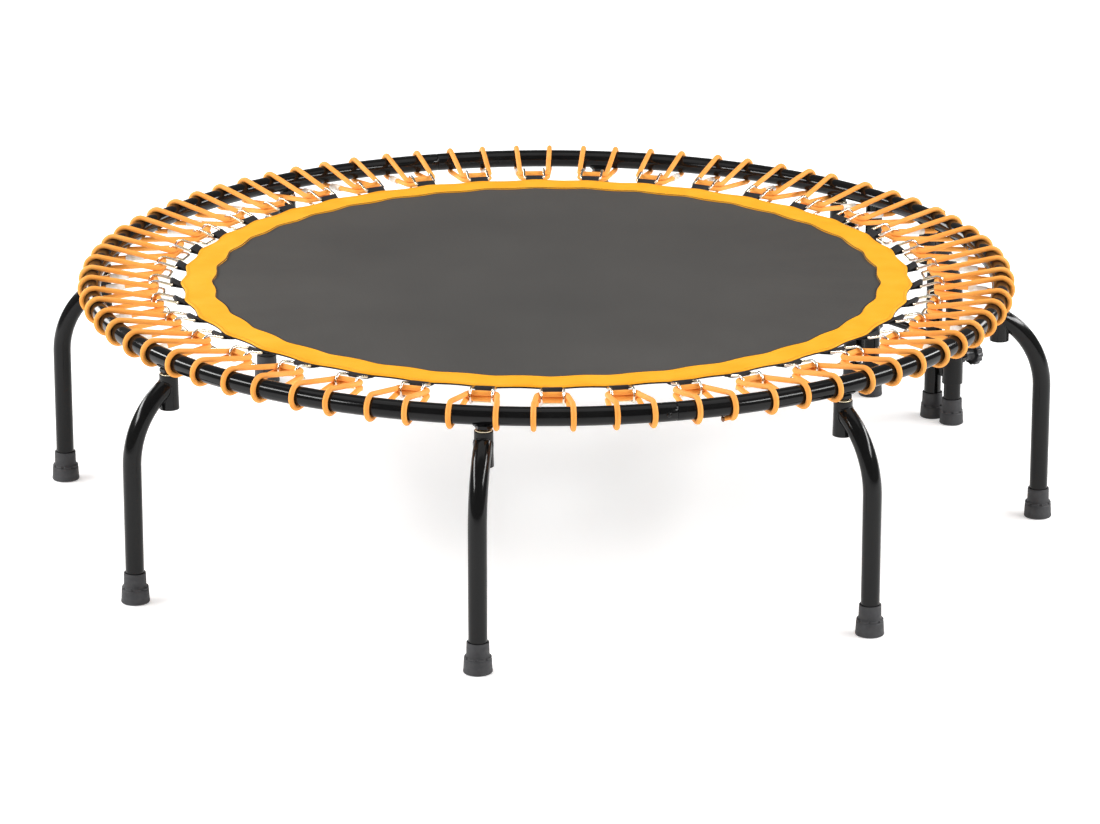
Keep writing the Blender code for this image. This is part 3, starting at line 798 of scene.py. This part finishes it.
def build_handlebar_base():
    first_boot = make_foot("upright_boot_1", PAIRED_BOOT)
    for number in (1, 2):
        low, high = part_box(f"upright_{number}")
        axis = centre_of(f"upright_{number}")
        at = Matrix.Translation((axis.x, axis.y, 0))
        outline = [(0.0001, low.z), (LEG_RADIUS, low.z), (LEG_RADIUS, high.z), (0.0001, high.z)]
        verts, faces = turned(rounded(outline, 0.0004), 40)
        piece = make_object(f"upright_tube_{number}", verts, faces, BLACK, at)
        show(piece, "frame", "black_steel", f"upright_{number}")
        cap_low, cap_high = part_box(f"upright_plug_{number}")
        cap = rounded([
            (0.0001, cap_low.z),
            (LEG_RADIUS + 0.0003, cap_low.z),
            (LEG_RADIUS + 0.0003, cap_low.z + 0.6 * (cap_high.z - cap_low.z)),
            (LEG_RADIUS - 0.004, cap_high.z),
            (0.0001, cap_high.z),
        ], 0.0012, 4)
        verts, faces = turned(cap, 40)
        piece = make_object(f"upright_cap_{number}", verts, faces, PLASTIC, at)
        show(piece, "frame", "black_plastic", f"upright_plug_{number}")
        boot = first_boot if number == 1 else place("upright_boot_2", first_boot.data)
        boot.matrix_world = at
        show(boot, "frame", "rubber", f"upright_foot_{number}")
        build_clamp(number)
    build_crossbar()


def build_crossbar():
    first, second = centre_of("upright_1"), centre_of("upright_2")
    height = centre_of("crossbar").z
    a = np.array((first.x, first.y, height))
    b = np.array((second.x, second.y, height))
    run = (b - a) / np.linalg.norm(b - a)
    inset = LEG_RADIUS - 0.0008
    path = [a + run * inset + (b - a - 2 * run * inset) * k for k in np.linspace(0, 1, 9)]
    bar = (*sweep(path, 0.0056, 32), 0)
    weld = 0.0060
    beads = []
    for end, sign in ((a, 1), (b, -1)):
        ring = []
        for i in range(48):
            turn = 2 * math.pi * i / 48
            side = np.array((-run[1], run[0], 0)) * math.cos(turn) * weld
            point = end + side + np.array((0, 0, weld * math.sin(turn)))
            depth = math.sqrt(LEG_RADIUS ** 2 - (weld * math.cos(turn)) ** 2)
            ring.append(point + sign * run * depth)
        radii = 0.0011 + 0.0003 * np.abs(np.sin(np.arange(48) * math.pi / 3))
        beads.append((*sweep(ring, radii, 8, closed=True), 0))
    verts, faces, _ = joined([bar] + beads)
    show(make_object("base_crossbar", verts, faces, BLACK), "frame", "black_steel", "crossbar")


def build_clamp(number):
    """Sleeve round a leg with a hex boss for the knob's screw and a web to the upright, and the knob."""
    foot = centre_of(f"leg_foot_{PAIRED_LEGS[number - 1]}")
    upright = centre_of(f"upright_{number}")
    low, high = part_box(f"leg_clamp_{number}")
    joint = next(j for j in frame["joints"] if j["name"] == f"knob_{number}_turn")
    axis = Vector(joint["axis"])
    screw_z = joint["pos_m"][2]
    outer, inner = 0.0150, LEG_RADIUS + 0.0005
    ring = rounded([(inner, low.z), (outer, low.z), (outer, high.z), (inner, high.z)], 0.0008)
    sleeve = (*turned(ring, 48, closed=True), 0)
    turn = math.atan2(axis.y, axis.x)
    face = outer + 0.0052
    a = np.radians(60 * np.arange(6))
    nut_rows = []
    for x, size in ((outer - 0.004, 0.0098), (face - 0.0010, 0.0098), (face, 0.0088), (face, 0.0046)):
        nut_rows.append(np.stack([
            x * math.cos(turn) - size * np.cos(a) * math.sin(turn),
            x * math.sin(turn) + size * np.cos(a) * math.cos(turn),
            screw_z + size * np.sin(a),
        ], 1))
    nut = (np.concatenate(nut_rows), skin(nut_rows), 0)
    across = Vector((upright.x - foot.x, upright.y - foot.y, 0))
    reach = across.length - LEG_RADIUS + 0.0006
    direction = across.normalized()
    side = Vector((-direction.y, direction.x, 0))
    web_low, web_high, web_half = 0.066, 0.132, 0.0022
    web_rows = []
    for z in np.linspace(web_low, web_high, 9):
        lift = web_half * (1 if web_low + 0.004 < z < web_high - 0.004 else 0.6)
        start, end = direction * (outer - 0.002), direction * reach
        web_rows.append(np.array([
            (*(start + side * lift)[:2], z), (*(end + side * lift)[:2], z),
            (*(end - side * lift)[:2], z), (*(start - side * lift)[:2], z),
        ]))
    web = (np.concatenate(web_rows), skin(web_rows), 0)
    verts, faces, _ = joined([sleeve, nut, web])
    at = Matrix.Translation((foot.x, foot.y, 0))
    clamp = make_object(f"clamp_{number}", verts, faces, BLACK, at)
    show(clamp, "frame", "black_steel", f"leg_clamp_{number}")
    knob = make_knob(number)
    outwards = Matrix.Translation((foot.x, foot.y, screw_z)) @ Matrix.Rotation(turn, 4, "Z")
    knob.matrix_world = outwards @ Matrix.Rotation(math.radians(90), 4, "Y")
    show(knob, f"knob_{number}", "black_plastic", f"star_knob_{number}")


def make_knob(number):
    """Plastic knob: a tapering boss, a dished disc with a scalloped rim, and its steel screw."""
    lobes = 12
    turns = around(192)
    scallop = 0.0164 + 0.0007 * np.cos(lobes * turns)
    rows = []
    # (radius, distance from the leg's centre line, 0), or with 1 the radius as a share of the scallop
    for radius, z, scalloped in (
        (0.0003, 0.0208, 0), (0.0076, 0.0208, 0), (0.0082, 0.0214, 0), (0.0078, 0.0300, 0),
        (0.0082, 0.0340, 0), (0.0092, 0.0352, 0), (0.0120, 0.0356, 0), (0.0140, 0.0354, 0),
        (0.0146, 0.0350, 0), (0.950, 0.0350, 1), (0.985, 0.0355, 1), (1.0, 0.0368, 1),
        (1.0, 0.0434, 1), (0.985, 0.0447, 1), (0.950, 0.0453, 1), (0.0142, 0.0453, 0),
        (0.0134, 0.0448, 0), (0.0100, 0.0440, 0), (0.0064, 0.0440, 0), (0.0060, 0.0444, 0),
        (0.0003, 0.0446, 0),
    ):
        rows.append(level_ring(radius * scallop if scalloped else radius, z, turns))
    head = (np.concatenate(rows), skin(rows), 0)
    thread = []
    z, boss_end, pitch = 0.0135, 0.0208, 0.0008
    while z < boss_end:
        thread += [(0.0038, z), (0.0033, z + pitch / 2)]
        z += pitch
    screw = (*turned([(0.0001, 0.0128)] + thread + [(0.0001, z)], 20), 1)
    verts, faces, slots = joined([head, screw])
    return make_object(f"clamp_knob_{number}", verts, faces, [PLASTIC, ZINC], face_slots=slots)


# ---------------------------------------------------------------- mat

def pull(angle):
    """How far the nearest tab pulls the mat's edge out, 0 to 1, at an angle in degrees."""
    off = min(abs(off_by(angle, clip)) for clip in CLIPS) / (CLIP_PITCH / 2)
    return 0.5 + 0.5 * math.cos(math.pi * min(off, 1.0) ** 0.85)


def wander(angle, seed):
    """Small slow unevenness of a sewn edge, -1 to 1."""
    a = math.radians(angle)
    slow = 0.5 * math.sin(11 * a + seed)
    return slow + 0.3 * math.sin(23 * a + 2.1 * seed) + 0.2 * math.sin(37 * a + seed * seed)


def edge_radius(angle):
    """The band's outer edge, wavy where the tabs pull it."""
    return BAND_OUTER + 0.0050 * pull(angle) + 0.0008 * wander(angle, 1.3)


def band_inner(angle):
    return BAND_INNER + 0.0042 * pull(angle) + 0.0010 * wander(angle, 2.7)


def at_bearing(profile, degrees):
    """A row of points from (distance from Z, height) pairs, at an angle round the ring."""
    a = math.radians(degrees)
    return np.array([(r * math.cos(a), r * math.sin(a), z) for r, z in profile])


def build_mat():
    """Woven sheet with two faces, finer rows towards its edge, rippled a little by the tabs."""
    sides = 720
    degrees = [360.0 * i / sides for i in range(sides)]
    rim = np.array([min(edge_radius(a) - 0.0012, MAT_LIMIT) for a in degrees])
    turns = np.radians(degrees)
    pulls = np.array([pull(a) for a in degrees])
    top = []
    for k in (0.02, 0.10, 0.20, 0.32, 0.44, 0.56, 0.66, 0.75, 0.82, 0.87, 0.90, 0.92, 0.94, 0.96, 0.98, 1.0):
        lift = 0.0003 * math.sin(9 * k)
        radius = rim * k
        ripple = 0.0007 * (k ** 6) * (pulls - 0.5)
        top.append(np.stack([radius * np.cos(turns), radius * np.sin(turns), MAT_Z + lift + ripple], 1))
    rows = top + [row - (0, 0, MAT_THICKNESS) for row in reversed(top)]
    mat = make_object("woven_mat", np.concatenate(rows), skin(rows), MAT)
    return show(mat, "mat", "woven_mat", "mat")


def build_band():
    """Orange webbing with rounded edges lying on the mat, puckered where tabs pull it."""
    sides = 1440
    rows = []
    for i in range(sides):
        angle = 360.0 * i / sides
        inner, outer = band_inner(angle), edge_radius(angle)
        width = outer - inner
        profile = []
        for k in (0.0, 0.01, 0.03, 0.08, 0.25, 0.5, 0.75, 0.92, 0.97, 0.99, 1.0):
            edge = min(k, 1 - k) * width
            lift = 0.0016 * min(1.0, math.sqrt(min(edge / 0.0011, 1.0)))
            sewn = 0.0005 * (math.exp(-((edge - 0.0035) / 0.0012) ** 2))
            pucker = 0.0005 * (1 - pull(angle)) * math.sin(math.pi * k)
            wave = pucker + 0.0003 * wander(angle * 1.7, 4.0 * k)
            profile.append((inner + k * width, MAT_Z + 0.0003 + lift - sewn + wave * (0.3 + k)))
        profile += [(outer - 0.0002, BAND_FLOOR), (inner + 0.0002, BAND_FLOOR)]
        rows.append(at_bearing(profile, angle))
    band = make_object("orange_band", np.concatenate(rows), skin(rows, closed=True), ORANGE)
    show(band, "mat", "orange_webbing", "mat_border")


def build_hem():
    """Black tape under the mat's edge that the tabs are sewn to; a thin line of it shows."""
    sides = 1440
    low, high = MAT_Z - 0.0024, MAT_Z - 0.0005
    rows = []
    for i in range(sides):
        angle = 360.0 * i / sides
        outer = edge_radius(angle) + 0.0004
        profile = [
            (0.4720, high - 0.0014), (0.4722, low), (outer - 0.0010, low), (outer, low + 0.0008),
            (outer, high - 0.0008), (outer - 0.0012, high), (outer - 0.0060, high - 0.0012),
        ]
        rows.append(at_bearing(profile, angle))
    hem = make_object("black_hem", np.concatenate(rows), skin(rows, closed=True), BLACK_WEB)
    return show(hem, "mat", "black_webbing", "tab_ring")


def zigzag(name, radius_at, thickness, material):
    """A zigzag seam round the mat at the radius that radius_at gives for each angle."""
    count, swing = 1332, 0.0010
    path = []
    for i in range(count):
        angle = 360.0 * i / count
        radius = radius_at(angle) + (swing if i % 2 else -swing)
        path.append(at_bearing([(radius, MAT_Z + 0.0019)], angle)[0])
    verts, faces = sweep(path, thickness, 5, closed=True)
    show(make_object(name, verts, faces, material), "mat", "orange_webbing")


def build_stitches():
    """A seam along each edge of the band."""
    zigzag("seam_inner", lambda a: band_inner(a) + 0.0002, 0.00032, DARK_THREAD)
    zigzag("seam_outer", lambda a: edge_radius(a) - 0.0034, 0.00024, ORANGE_THREAD)


def build_tabs():
    """Webbing folded round each hook's crossbar; both plies run back under the hem."""
    bar_x, bar_z = HOOK_BAR
    wrap = HOOK_WIRE + 0.0008
    line = [(0.4780, MAT_Z - 0.0044), (0.4960, MAT_Z - 0.0042)]
    for i in range(13):
        turn = math.radians(-90 + 190 * i / 12)
        line.append((bar_x + wrap * math.cos(turn), bar_z + wrap * math.sin(turn)))
    line += [(0.5030, MAT_Z - 0.0012), (0.4985, MAT_Z - 0.0014), (0.4780, MAT_Z - 0.0026)]
    line = np.array(line)
    tangent = np.gradient(line, axis=0)
    tangent /= np.linalg.norm(tangent, axis=1)[:, None]
    normal = np.stack([tangent[:, 1], -tangent[:, 0]], 1)
    half, thick = 0.0125, 0.0006
    rows = []
    for point, out in zip(line, normal):
        o, i = point + out * thick, point - out * thick
        rows.append(np.array([
            (o[0], -half, o[1]), (o[0], half, o[1]), (i[0], half, i[1]), (i[0], -half, i[1]),
        ]))
    verts, faces = np.concatenate(rows), skin(rows)
    tab = make_object("tab_01", verts, faces, BLACK_WEB)
    for i in range(CLIP_COUNT):
        piece = tab if i == 0 else place(f"tab_{i + 1:02d}", tab.data)
        piece.matrix_world = turn_z(CLIPS[i])
        show(piece, "mat", "black_webbing")


def wire_corner():
    """Quarter bend of the wire where a crossbar meets an arm, as (along the arm, across it)."""
    bend = []
    for i in range(7):
        turn = math.radians(90 * i / 6)
        bend.append((HOOK_CORNER * (1 - math.cos(turn)), HOOK_CORNER * (1 - math.sin(turn))))
    return bend


def hook_path():
    """Centre line of one wire hook: crossbar, arm, curl and return on one side, mirrored."""
    cx, cz = CURL_CENTRE
    bar_x, bar_z = HOOK_BAR
    curl = []
    for i in range(25):
        turn = math.radians(CURL_TURN * (1 - i / 12))
        curl.append((cx + CURL_RADIUS * math.cos(turn), cz + CURL_RADIUS * math.sin(turn)))
    tip_x, tip_z = cx - 0.0108, cz - CURL_RADIUS - 0.0018
    half = []
    slope = (curl[0][1] - bar_z) / (curl[0][0] - bar_x)
    for along, across in wire_corner():
        half.append((bar_x + along, HOOK_HALF - across, bar_z + along * slope))
    for k in (0.35, 0.65):
        x = bar_x + HOOK_CORNER + (curl[0][0] - bar_x - HOOK_CORNER) * k
        half.append((x, HOOK_HALF, bar_z + (x - bar_x) * slope))
    half += [(x, HOOK_HALF, z) for x, z in curl]
    back = (tip_z - curl[-1][1]) / (tip_x - curl[-1][0])
    for along, across in reversed(wire_corner()):
        half.append((tip_x + along, HOOK_HALF - across, tip_z + along * back))
    mirrored = [(x, -y, z) for x, y, z in reversed(half)]
    reach = HOOK_HALF - HOOK_CORNER
    bottom = [(tip_x, y, tip_z) for y in np.linspace(reach, -reach, 5)[1:-1]]
    top = [(bar_x, y, bar_z) for y in np.linspace(-reach, reach, 5)[1:-1]]
    return half + bottom + mirrored + top


def build_hooks():
    verts, faces = sweep(hook_path(), HOOK_WIRE, 14, closed=True)
    hook = make_object("hook_01", verts, faces, ZINC)
    for i in range(CLIP_COUNT):
        piece = hook if i == 0 else place(f"hook_{i + 1:02d}", hook.data)
        piece.matrix_world = turn_z(CLIPS[i])
        show(piece, "mat", "zinc", *(["hook_ring"] if i == 0 else []))


# ---------------------------------------------------------------- bungees

def half_loop(side, wrap_turn, spread):
    """Half of a bungee on one side: upper strand out, over and round the ring, lower strand back.

    wrap_turn is the angle in degrees between the hook and the wrap round the tube, and spread is how
    far the strands stand clear of the hook's wire.  Heights are from the ring's.
    """
    reach = TUBE_RADIUS + CORD_RADIUS
    beta = math.radians(wrap_turn)
    ring_point = np.array((RING_RADIUS * math.cos(beta), side * RING_RADIUS * math.sin(beta)))
    outwards = np.array((math.cos(beta), side * math.sin(beta)))
    bend = 0.0080
    leave_y = HOOK_HALF + HOOK_WIRE + CORD_RADIUS + spread
    start_x = CURL_CENTRE[0]

    def plan(sign_z):
        """Points from the middle of the hook to the ring tube's top or bottom, and the strand's lean."""
        z = CURL_CENTRE[1] + sign_z * STRAND_RISE - RING_Z
        points = [(start_x, side * y, z) for y in np.linspace(0, leave_y - bend, 5)]
        for i in range(1, 10):
            turn = math.radians(88 * i / 9)
            x = start_x + bend * (1 - math.cos(turn))
            y = leave_y - bend + bend * math.sin(turn)
            points.append((x, side * y, z))
        exit_point = np.array(points[-1][:2])
        run = ring_point - exit_point
        length = float(np.linalg.norm(run))
        lean = math.asin(reach / math.hypot(length, z)) - math.atan2(sign_z * z, length)
        touch = length - reach * math.sin(lean)
        touch_z = sign_z * reach * math.cos(lean)
        for k in np.linspace(0, 1, 9)[1:]:
            spot = exit_point + run * (touch * k / length)
            points.append((spot[0], spot[1], z + (touch_z - z) * k))
        return points, lean

    upper, lean_up = plan(1)
    lower, lean_down = plan(-1)
    first, last = 90 + math.degrees(lean_up), -90 - math.degrees(lean_down)
    wrap = []
    for i in range(1, 28):
        turn = math.radians(first + (last - first) * i / 28)
        out = reach * math.cos(turn)
        wrap.append((*(ring_point + outwards * out), reach * math.sin(turn)))
    return upper + wrap + lower[::-1]


def smooth_closed(points):
    p = np.asarray(points, float)
    return 0.25 * np.roll(p, 1, 0) + 0.5 * p + 0.25 * np.roll(p, -1, 0)


def cord_tail(loop):
    """Spare end of a cord, 14 mm long with a melted tip, poking out sideways under the ring."""
    lowest = loop[np.argmin(loop[:, 2])] + (0, 0, RING_Z)
    outward = np.array((lowest[0], lowest[1], 0)) / math.hypot(lowest[0], lowest[1])
    sideways = np.array((outward[1], -outward[0], -0.10))
    root = lowest + outward * 0.002 + (0, 0, 0.3 * CORD_RADIUS)
    path = [root + sideways * run for run in np.linspace(0, 0.0115, 6)]
    tip = [path[-1] + sideways * run for run in (-0.0010, 0.0006, 0.0018, 0.0026)]
    swell = CORD_RADIUS * np.array((0.88, 1.02, 0.92, 0.4))
    return [(*sweep(path, 0.86 * CORD_RADIUS, 14), 0), (*sweep(tip, swell, 14), 2)]


def joining_sleeve(half):
    """Translucent tube over the lower strand of half a loop, where the cord's two ends meet."""
    strand = np.array(half[-22:-15])
    strand[:, 2] += RING_Z
    centre = strand.mean(0)
    direction = strand[-1] - strand[0]
    direction /= np.linalg.norm(direction)
    # (distance along the strand, radius)
    shell = [
        (-0.0130, 0.0036), (-0.0130, 0.0046), (-0.0122, 0.0049),
        (0.0122, 0.0049), (0.0130, 0.0046), (0.0130, 0.0036),
    ]
    axis = np.array([centre + direction * run for run in np.linspace(-0.013, 0.013, len(shell))])
    rows = []
    for row, (run, radius) in zip(sweep_rows(axis, 1.0, 20), shell):
        rows.append(centre + direction * run + (row - row.mean(0)) * radius)
    return np.concatenate(rows), skin(rows), 1


def build_bungee(number):
    """One closed loop of cord with its joining sleeve, stretched between a hook and the ring."""
    angle = CLIPS[number]
    jitter = [random.uniform(-0.2, 0.2) for _ in range(2)]
    spread = [random.uniform(0.0, 0.0012) for _ in range(2)]
    right = half_loop(1, wrap_angle(angle + WRAP_HALF + jitter[0]) - angle, spread[0])
    left = half_loop(-1, angle - wrap_angle(angle - WRAP_HALF + jitter[1]), spread[1])
    path = smooth_closed(right + left[::-1][1:-1])
    path[:, 2] += RING_Z
    parts = [(*sweep(path, CORD_RADIUS, 14, closed=True), 0)]
    parts.append(joining_sleeve(right if number % 3 else left))
    if number == TAIL_CLIP:
        parts += cord_tail(np.array(right))
    verts, faces, slots = joined(parts)
    turned_verts = verts @ np.array(turn_z(angle).to_3x3()).T
    name = f"bungee_{number + 1:02d}"
    piece = make_object(name, turned_verts, faces, [CORD, SLEEVE, BURNT], face_slots=slots)
    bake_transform(piece)
    return piece


def build_bungees():
    """All the loops; the first of each CAD set stands for its node."""
    starts = [i * CLIP_COUNT // CORD_SETS for i in range(CORD_SETS)]
    for number in range(CLIP_COUNT):
        piece = build_bungee(number)
        if number in starts:
            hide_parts(f"bungee_set_{starts.index(number) + 1}")


# ---------------------------------------------------------------- build

build_stage()
build_camera()
build_ring()
build_legs()
build_handlebar_base()
mat_piece = build_mat()
build_band()
hem_piece = build_hem()
build_stitches()
build_tabs()
build_hooks()
build_bungees()
